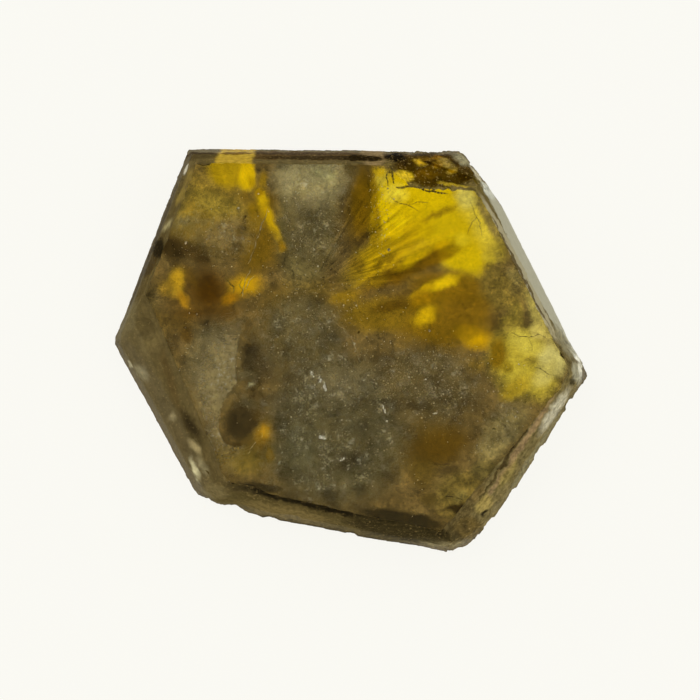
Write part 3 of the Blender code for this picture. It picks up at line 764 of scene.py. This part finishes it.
def window_threads(flat, seed, fine):
    """How much the threads darken or lighten each place, most of all in the big yellow window."""
    distance = around_heart(flat)[1]
    window = sector(flat, 0.15, 1.1) * distance.smooth(12.0, 8.0)
    threads = fibres(flat, seed + 5.0, 22.0, 0.2).smooth(0.28, 0.72, 1.0 - 0.55 * fine, 1.0 + 0.3 * fine)
    bundles = fibres(flat, seed + 8.0, 9.0, 0.12).smooth(0.36, 0.64, -0.30, 0.16) * distance.smooth(11.0, 6.0)
    return (threads - 1.0) * (window * 0.85 + 0.15) + bundles * window * fine + 1.0


def zone_material(name, seed, fine):
    material, shader, place = new_material(name)
    flat, grown = feathered(place, seed, 2.0, 0.9)
    close = swayed(place, 3.0, 0.8, 0.75)
    colour = place.constant((*through(*ZONE_GROUND), 1.0))
    for x, y, length, width, turn, core, strength, shade in ZONES.values():
        drawn = grown if length * width > LARGE_ZONE else close
        colour = colour.blend(through(*shade), oval(drawn, x, y, length, width, turn, core) * strength)
    threads = window_threads(flat, seed, fine)
    smoky = colour.part(0).smooth(0.2, 0.6, 1.0, 0.4)
    stain = flat.aside(seed + 7.0).grain(2.6, detail=5.0, rough=0.6).smooth(0.48, 0.66)
    colour = colour.blend(through(*IRON_STAIN), stain * smoky * 0.25)
    murky = smoky * colour.part(2).smooth(0.01, 0.07, 0.5, 1.0)
    mottle = flat.aside(seed + 2.0).grain(1.5, detail=7.0, rough=0.66)
    depth = threads * (mottle.smooth(0.3, 0.7, -0.85 * fine, 0.85 * fine) * murky + 1.03)
    wander = flat.aside(seed + 4.0)
    ridge = (wander.grain(1.1, detail=6.0, rough=0.62, warp=0.6) - 0.5).maths("ABSOLUTE").smooth(0.035, 0.0)
    depth = depth * (1.0 - ridge * wander.grain(2.4).smooth(0.42, 0.6) * (1.1 - smoky) * 0.32)
    depth = depth * ((wander.grain(0.34, detail=3.0, rough=0.85) - 0.5) * murky * 2.9 + 1.0)
    feed(shader, Base_Color=colour.scaled(depth), IOR=1.0, Transmission_Weight=1.0)
    feed(shader, Roughness=0.0, Specular_IOR_Level=0.0)
    return material


for name, level, seed, fine in (("growth_zones_low", 1.4 * MM, 3.0, 0.6),
                                ("growth_zones_high", 3.4 * MM, 11.0, 1.0)):
    link_piece(name, sheet_inside(name, level, 0.3 * MM, seed), zone_material(name, seed, fine))

# ---- Milky clouds ----------------------------------------------------------------------------------------
# The arms are full of tiny cavities and clay that catch the light from above. Two thin veils of them hang in
# the slice, dense in the arms and thin in the windows, grainy all over, with wrinkled threads in them. Two
# pale spots on them are painted glints.

MILK_LIGHT = 0.42
MILK_THICKNESS = 0.6
MILK_SPECK = (198, 190, 160)
# Each cloud: x, y, half length, half width, turn, core, thickness, colour as it is seen.
MILK = {
    "upper_left_arm": (-9.6, 8.1, 3.32, 2.04, 15, 0.25, 0.6, (136, 116, 70)),
    "upper_left_tips": (-12.0, 9.2, 1.96, 1.06, 50, 0.2, 0.5, (140, 124, 72)),
    "top_arm_head": (-2.7, 12.5, 3.77, 2.72, 0, 0.25, 0.8, (168, 155, 112)),
    "top_arm": (-2.8, 8.9, 3.92, 2.56, 90, 0.3, 0.6, (108, 96, 64)),
    "middle": (-3.7, 0.3, 4.53, 4.07, 0, 0.5, 0.5, (104, 94, 64)),
    "bottom_arm": (-1.2, -6.6, 6.94, 6.34, 60, 0.6, 0.55, (96, 87, 58)),
    "right_arm": (6.0, -3.0, 4.98, 3.47, -12, 0.4, 0.5, (108, 94, 56)),
    "left_haze": (-15.3, -0.6, 1.96, 2.56, 25, 0.3, 0.5, (100, 88, 58)),
    "right_foot": (11.2, -6.1, 3.02, 1.51, 50, 0.3, 0.35, (112, 98, 60)),
    "heart_foot": (-0.7, -3.2, 3.02, 1.96, -10, 0.2, 0.62, (122, 110, 78)),
    # A painted glint: a soft pale blot left of the middle.
    "left_painted_glint": (-7.4, -3.0, 0.45, 0.91, -35, 0, 0.9, (184, 172, 138)),
    "hollow": (5.2, -4.7, 1.66, 0.83, -8, 0.4, 0.1, (96, 84, 50)),
    "clear_window": (5.3, 8.9, 6.34, 4.68, -8, 0.7, 0, (96, 84, 50)),
    "clear_band": (6.0, 3.4, 5.88, 2.56, -10, 0.7, 0, (96, 84, 50)),
    "clear_lemon": (13.3, -0.5, 3.02, 3.62, 0, 0.6, 0, (96, 84, 50)),
    "clear_orange": (9.7, 0.3, 2.26, 1.51, 0, 0.6, 0, (96, 84, 50)),
    "clear_left": (-10.2, 3.6, 4.38, 2.26, 5, 0.7, 0, (96, 84, 50)),
    "clear_upper_left": (-8.0, 12.7, 2.72, 2.41, 0, 0.7, 0, (96, 84, 50)),
    "clear_streak": (-6.1, 9.6, 3.17, 0.91, -62, 0.5, 0, (96, 84, 50)),
    "patch_haze": (-7.5, -2.3, 1.36, 0.68, 0, 0.2, 0.6, (106, 98, 70)),
    "lobe_haze": (-7.5, -4.4, 1.66, 0.83, 0, 0.2, 0.5, (104, 95, 66)),
    "arm_haze": (2.7, -5.0, 0.91, 0.68, 0, 0.2, 0.75, (130, 116, 80)),
    # A painted glow round the brightest flash.
    "painted_glint_glow": (-2.1, -7.1, 0.68, 0.68, 0, 0, 0.8, (156, 148, 120)),
    "top_arm_light": (-2.1, 12.8, 1.36, 0.91, 0, 0.2, 0.85, (178, 166, 120)),
    "clear_gap": (0.6, 10.1, 0.91, 3.92, 0, 0.5, 0, (96, 84, 50)),
    "clear_inner": (2.7, 1.9, 2.41, 1.51, -20, 0.5, 0, (96, 84, 50)),
}


def milk_material(name, seed):
    material, shader, place = new_material(name)
    flat, grown = feathered(place, seed, 2.2, 1.0)
    colour = place.constant((*lit(ZONE_GROUND, MILK_LIGHT), 1.0))
    cover = 0.0
    for x, y, length, width, turn, core, strength, tint in MILK.values():
        inside = oval(grown, x, y, length, width, turn, core)
        colour = colour.blend(lit(tint, MILK_LIGHT), inside)
        cover = inside * (strength - cover) + cover
    cloud = flat.aside(seed).grain(1.9, detail=7.0, rough=0.64)
    drifts = flat.aside(seed + 3.0).grain(1.6, detail=3.0).smooth(0.42, 0.62)
    blots = flat.aside(seed + 6.0).grain(0.7, detail=4.0, rough=0.6).smooth(0.50, 0.74)
    dust = flat.aside(seed + 9.0).grain(0.13, detail=1.0).smooth(0.56, 0.70)
    flocks = flat.aside(seed + 12.0).grain(0.4, detail=5.0, rough=0.7).smooth(0.46, 0.76)
    pale = (blots * 0.8).most(dust * 0.45).most(flocks * 0.7) * (drifts * 0.6 + 0.4)
    grit = flat.aside(seed + 15.0).grain(0.32, detail=3.0, rough=0.85) - 0.5
    shade = cloud.smooth(0.3, 0.7, 0.62, 1.38) * (grit * 3.6 + 1.0)
    colour = colour.scaled(shade).blend(lit(MILK_SPECK, MILK_LIGHT), pale)
    body = cloud.smooth(0.32, 0.68, 0.35, 1.3) * (grit * -2.0 + 1.0) * MILK_THICKNESS
    feed(shader, Base_Color=colour, Alpha=(cover * (body + pale * 0.9)).least(0.97))
    feed(shader, Roughness=0.6, Specular_IOR_Level=0.1)
    return material


for name, level, seed in (("milk_low", 2.4 * MM, 21.0), ("milk_high", 4.05 * MM, 31.0)):
    link_piece(name, sheet_inside(name, level, 0.25 * MM, seed), milk_material(name, seed))

# ---- The beige veil --------------------------------------------------------------------------------------
# One old growth surface at the left, coated with pale clay. It ends in a sharp scalloped edge where the next
# growth broke away from it, and the clear darker quartz shows beyond.

VEIL_LEVEL = 4.55 * MM
VEIL_CLAY = (120, 107, 72)
VEIL_LOW_CLAY = (116, 98, 48)
# Each patch of it, and each bay that its edge leaves bare: x, y, half length, half width, turn, core.
VEIL_PATCHES = ((-9.0, -2.9, 3.4, 5.6, -8, 0.3), (-9.7, -7.6, 2.5, 2.7, 0, 0.25))
VEIL_BAYS = ((-5.35, -1.55, 3.3, 4.9, 0, 0.93), (-8.0, -5.2, 2.75, 1.7, 70, 0.92))


def veil_material():
    material, shader, place = new_material("clay_veil")
    flat = place.vector("MULTIPLY", (1.0, 1.0, 0.0))
    edge = swayed(place, 7.0, 0.55, 0.45)
    spread = swayed(place, 9.0, 3.0, 1.2, 0.45)
    cover = oval(spread, *VEIL_PATCHES[0]).most(oval(spread, *VEIL_PATCHES[1]) * 0.85)
    for bay in VEIL_BAYS:
        cover = cover * (1.0 - oval(edge, *bay))
    cloud = flat.grain(1.4, detail=5.0, rough=0.6)
    colour = place.constant((*lit(VEIL_CLAY, MILK_LIGHT), 1.0))
    colour = colour.blend(lit(VEIL_LOW_CLAY, MILK_LIGHT), flat.part(1).smooth(-6.0, -9.0))
    colour = colour.scaled(cloud.smooth(0.3, 0.7, 0.72, 1.3))
    lumps = flat.grain(0.32, detail=4.0, rough=0.7).smooth(0.5, 0.74) * flat.grain(2.0).smooth(0.4, 0.6)
    colour = colour.blend(lit(MILK_SPECK, MILK_LIGHT), lumps * 0.6)
    weave = flat.grain(0.5, detail=5.0, rough=0.75).smooth(0.3, 0.7, 0.4, 1.4)
    feed(shader, Base_Color=colour, Alpha=(cover * weave).least(0.9), Roughness=0.5, Specular_IOR_Level=0.2)
    return material


link_piece("clay_veil", sheet_inside("clay_veil", VEIL_LEVEL, 0.1 * MM, 41.0), veil_material())

# ---- Glittering flakes -----------------------------------------------------------------------------------
# Loose plates of mica and clay and the walls of flat cavities, each a tenth of a millimetre or so, sealed in
# the arms in drifts. They tilt every way, so a few of them flash.

FLAKE_SEED = 5
FLASH_LEVEL = 4.72
FLASH_WAY = (-0.184, 0.150, 0.971)  # halfway between the eye and the window, as seen from inside the quartz
RIM_CLEARANCE = 0.25  # in millimetres, like the level and the places below
# Each drift: x, y, half length, half width, turn, and how many flakes it holds.
FLAKE_DRIFTS = {
    "right_arm": (5.9, -2.9, 4.6, 3.0, -12, 1700),
    "bottom_arm": (-1.7, -4.4, 5.6, 6.4, 60, 1700),
    "upper_left_arm": (-9.3, 8.1, 2.7, 2.0, 20, 450),
    "top_arm": (-3.0, 9.6, 4.2, 2.1, 90, 700),
    "middle": (-2.2, 2.5, 4.5, 3.5, 0, 800),
    "window_edge": (2.3, 10.2, 3.6, 0.5, 92, 260),
    "left": (-10.0, -1.0, 3.0, 4.0, 0, 220),
    "right_foot": (11.3, -5.6, 3.0, 1.4, 50, 260),
}
# The few that face the window: x, y, width and length in millimetres, and turn in degrees.
FLASHES = {
    "brightest": (-2.0, -7.0, 0.23, 0.6, 5),
    "pair": (-1.85, -3.34, 0.21, 0.53, -65),
    "pair_high": (-2.82, -2.3, 0.15, 0.26, -70),
    "pair_pale": (-2.23, -2.67, 0.23, 0.35, 60),
    "low": (2.62, -4.98, 0.2, 0.53, -65),
    "low_dot": (2.77, -5.8, 0.09, 0.14, 0),
    "lower": (-0.43, -8.63, 0.14, 0.32, 50),
    "right": (5.61, -2.74, 0.14, 0.18, 0),
    "right_low": (6.5, -5.21, 0.09, 0.41, 5),
    "streak_top": (-6.83, 11.26, 0.09, 0.11, 0),
}


def sealed(x, y, z):
    """Whether a flake there, in millimetres, is inside the crystal and clear of its rim."""
    return rim_reach(atan2(y, x), z * MM) > (hypot(x, y) + RIM_CLEARANCE) * MM


def flake_mesh():
    chance = Random(FLAKE_SEED)
    points, faces = [], []

    def add_flake(x, y, z, size):
        if not sealed(x, y, z):
            return
        tilt = Matrix.Rotation(chance.uniform(0, 2 * pi), 3, "Z")
        tilt = tilt @ Matrix.Rotation(chance.gauss(0, 0.7), 3, "X")
        centre = Vector((x, y, z))
        corners = [(chance.uniform(0.5, 1.0) * cos(turn), chance.uniform(0.25, 0.8) * sin(turn), 0.0)
                   for turn in (0.3, 1.7, 3.3, 4.9)]
        faces.append(tuple(range(len(points), len(points) + 4)))
        points.extend((centre + tilt @ Vector(corner) * size / 2) * MM for corner in corners)

    for x, y, length, width, turn, count in FLAKE_DRIFTS.values():
        along = Vector((cos(radians(turn)), sin(radians(turn))))
        across = Vector((-along.y, along.x))
        placed = 0
        while placed < count:
            drift = Vector((x, y)) + along * chance.gauss(0, length / 2) + across * chance.gauss(0, width / 2)
            level = chance.uniform(2.6, 4.7)
            for _ in range(min(chance.choice((1, 1, 1, 2, 4, 7)), count - placed)):
                spot = drift + Vector((chance.gauss(0, 0.4), chance.gauss(0, 0.4)))
                height = level + chance.uniform(-0.2, 0.2)
                add_flake(spot.x, spot.y, height, chance.lognormvariate(-2.35, 0.45))
                placed += 1
    mesh = bpy.data.meshes.new("flakes")
    mesh.from_pydata(points, [], faces)
    return mesh


def flake_material():
    material, shader, place = new_material("pale_flakes")
    colour = place.constant((0.72, 0.66, 0.52, 1.0))
    colour = colour.blend((0.24, 0.19, 0.11), place.grain(0.2).smooth(0.4, 0.54))
    feed(shader, Base_Color=colour, Roughness=0.28, Specular_IOR_Level=0.8)
    return material


link_piece("flakes", flake_mesh(), flake_material())


def flash_mesh():
    """Ragged plates that all lean the same few degrees, towards the window."""
    chance = Random(FLAKE_SEED + 1)
    lean = Vector((0.0, 0.0, 1.0)).rotation_difference(Vector(FLASH_WAY)).to_matrix()
    points, faces = [], []
    for x, y, width, length, turn in FLASHES.values():
        hold = lean @ Matrix.Rotation(radians(turn), 3, "Z")
        for part in range(5):
            offset = Vector((chance.gauss(0, length / 3), chance.gauss(0, width / 3), 0.02 * part))
            size = chance.uniform(0.35, 0.75)
            corners = [(length * size * cos(angle + chance.uniform(-0.3, 0.3)) / 2,
                        width * size * sin(angle + chance.uniform(-0.3, 0.3)) / 2, 0.0)
                       for angle in (0.2, 1.2, 2.4, 3.4, 4.3, 5.4)]
            faces.append(tuple(range(len(points), len(points) + 6)))
            centre = Vector((x, y, FLASH_LEVEL)) + hold @ offset
            points.extend((centre + hold @ Vector(corner)) * MM for corner in corners)
    mesh = bpy.data.meshes.new("flashes")
    mesh.from_pydata(points, [], faces)
    return mesh


def flash_material():
    material, shader, place = new_material("silvery_flakes")
    colour = place.constant((0.82, 0.80, 0.72, 1.0))
    colour = colour.blend((0.38, 0.36, 0.28), place.grain(0.12).smooth(0.42, 0.58))
    feed(shader, Base_Color=colour, Metallic=0.2, Roughness=0.3)
    return material


link_piece("flashes", flash_mesh(), flash_material())

# ---- Cracks ----------------------------------------------------------------------------------------------
# Hairline cracks that run through the slice just under the upper face. Some hold air and shine pale; under
# the broken corner and in the lemon window they have drawn in dark iron stain. Each is a thin ragged ribbon.

CRACK_SEED = 9
CRACK_LEVEL = 4.8
CRACK_GAPS = 0.06  # the share of a crack's length where it has healed
AIR_COLOURS = ((0.44, 0.38, 0.24), (0.22, 0.17, 0.08))
STAIN_COLOURS = ((0.030, 0.020, 0.006), (0.16, 0.11, 0.02))
# Each crack: 1 for pale or 0 for dark, its width in millimetres, then the places it passes through.
CRACKS = {
    "curve_1": (1, 0.07, (-6.14, 10.18), (-6.29, 9.57), (-6.66, 8.82), (-7.03, 7.76), (-7.33, 6.7),
                (-7.63, 5.95)),
    "curve_2": (1, 0.06, (-7.4, 5.65), (-7.7, 5.04), (-7.92, 4.29), (-8.07, 3.46)),
    "curve_3": (1, 0.07, (-4.94, 9.72), (-4.71, 9.34), (-4.41, 8.97)),
    "arc_1": (1, 0.05, (-1.33, 1.89), (-0.51, 1.14), (0.09, 0.24), (0.53, -0.66), (0.76, -1.41)),
    "orange_line_1": (1, 0.06, (-7.17, 5.04), (-7.55, 4.67), (-7.77, 4.07)),
    "orange_dark_1": (0, 0.09, (-9.34, 5.04), (-9.04, 4.52), (-8.67, 4.22), (-8.74, 3.76)),
    "orange_dark_2": (0, 0.08, (-8.0, 4.82), (-8.29, 4.37), (-7.99, 3.91), (-8.21, 3.54)),
    "corner_1": (0, 0.17, (3.09, 13.36), (3.17, 12.91), (3.24, 12.45), (3.32, 12.0)),
    "corner_2": (0, 0.12, (3.47, 12.68), (3.92, 12.91), (4.37, 12.68), (4.6, 12.22)),
    "corner_3": (0, 0.23, (3.47, 11.77), (3.84, 11.69), (4.29, 11.84), (4.67, 11.77)),
    "corner_4": (0, 0.18, (4.97, 11.77), (5.34, 11.69), (5.79, 11.46), (6.32, 11.46), (6.77, 11.31),
                 (7.37, 11.24)),
    "corner_5": (0, 0.11, (7.67, 11.84), (8.12, 11.69), (8.73, 11.77), (9.33, 11.54)),
    "corner_6": (0, 0.09, (3.02, 13.21), (2.72, 12.6), (2.87, 11.84)),
    "window_1": (0, 0.06, (3.02, 11.09), (3.69, 10.56), (4.37, 10.4), (5.26, 9.87)),
    "window_2": (0, 0.05, (4.37, 10.4), (5.04, 10.63), (5.87, 10.56)),
    "window_3": (0, 0.05, (9.02, 10.78), (9.32, 9.87), (9.76, 9.12), (9.91, 8.06)),
    "window_4": (0, 0.05, (9.62, 9.72), (9.16, 9.12), (8.86, 8.21)),
    "lemon_1": (0, 0.05, (11.96, 0.91), (12.56, 0.54), (13.3, 0.46), (14.05, 0.69), (14.72, 0.31)),
    "lemon_2": (0, 0.05, (13.73, -1.78), (14.26, -1.93), (14.77, -2.31), (15.37, -2.46)),
    "lemon_3": (0, 0.03, (12.77, -1.41), (13.29, -1.11), (13.89, -1.41), (14.26, -1.93)),
    "lemon_4": (0, 0.03, (13.3, 0.46), (13.6, -0.14), (13.52, -0.66)),
    "lemon_5": (0, 0.03, (14.66, 1.89), (15.03, 1.14), (15.39, 0.24), (15.68, -0.51)),
    "low_1": (0, 0.08, (6.69, -11.67), (7.28, -11.38), (8.03, -11.53), (8.62, -11.9)),
    "low_2": (0, 0.08, (5.96, -8.86), (6.7, -9.15), (7.52, -9.08)),
    "low_3": (1, 0.06, (-7.57, -8.34), (-7.35, -7.82), (-6.98, -7.37)),
}


def crack_mesh(name, pale):
    chance = Random(CRACK_SEED)
    points, faces = [], []
    for kind, width, *route in CRACKS.values():
        if kind != pale:
            continue
        line = [Vector(place) for place in route]
        for _ in range(4):
            finer = [line[0]]
            for start, end in zip(line, line[1:]):
                across = Vector((start.y - end.y, end.x - start.x))
                finer += [(start + end) / 2 + across * chance.gauss(0, 0.06), end]
            line = finer
        for step, (start, end) in enumerate(zip(line, line[1:])):
            across = Vector((start.y - end.y, end.x - start.x)).normalized()
            taper = sin(pi * (step + 1) / (len(line) + 1)) ** 0.5
            if chance.random() < CRACK_GAPS or not sealed(start.x, start.y, CRACK_LEVEL):
                continue
            side = across * width / 2 * taper * chance.uniform(0.4, 1.3)
            corners = (start - side, end - side, end + side, start + side)
            faces.append(tuple(range(len(points), len(points) + 4)))
            points.extend(Vector((*corner, CRACK_LEVEL)) * MM for corner in corners)
    mesh = bpy.data.meshes.new(name)
    mesh.from_pydata(points, [], faces)
    return mesh


def crack_material(name, pale):
    material, shader, place = new_material(name)
    first, second = AIR_COLOURS if pale else STAIN_COLOURS
    colour = place.constant((*first, 1.0)).blend(second, place.grain(0.5).smooth(0.45, 0.6))
    feed(shader, Base_Color=colour, Roughness=0.4, Specular_IOR_Level=0.2)
    return material


for name, pale in (("pale_cracks", 1), ("dark_cracks", 0)):
    link_piece(name, crack_mesh(name, pale), crack_material(name, pale))
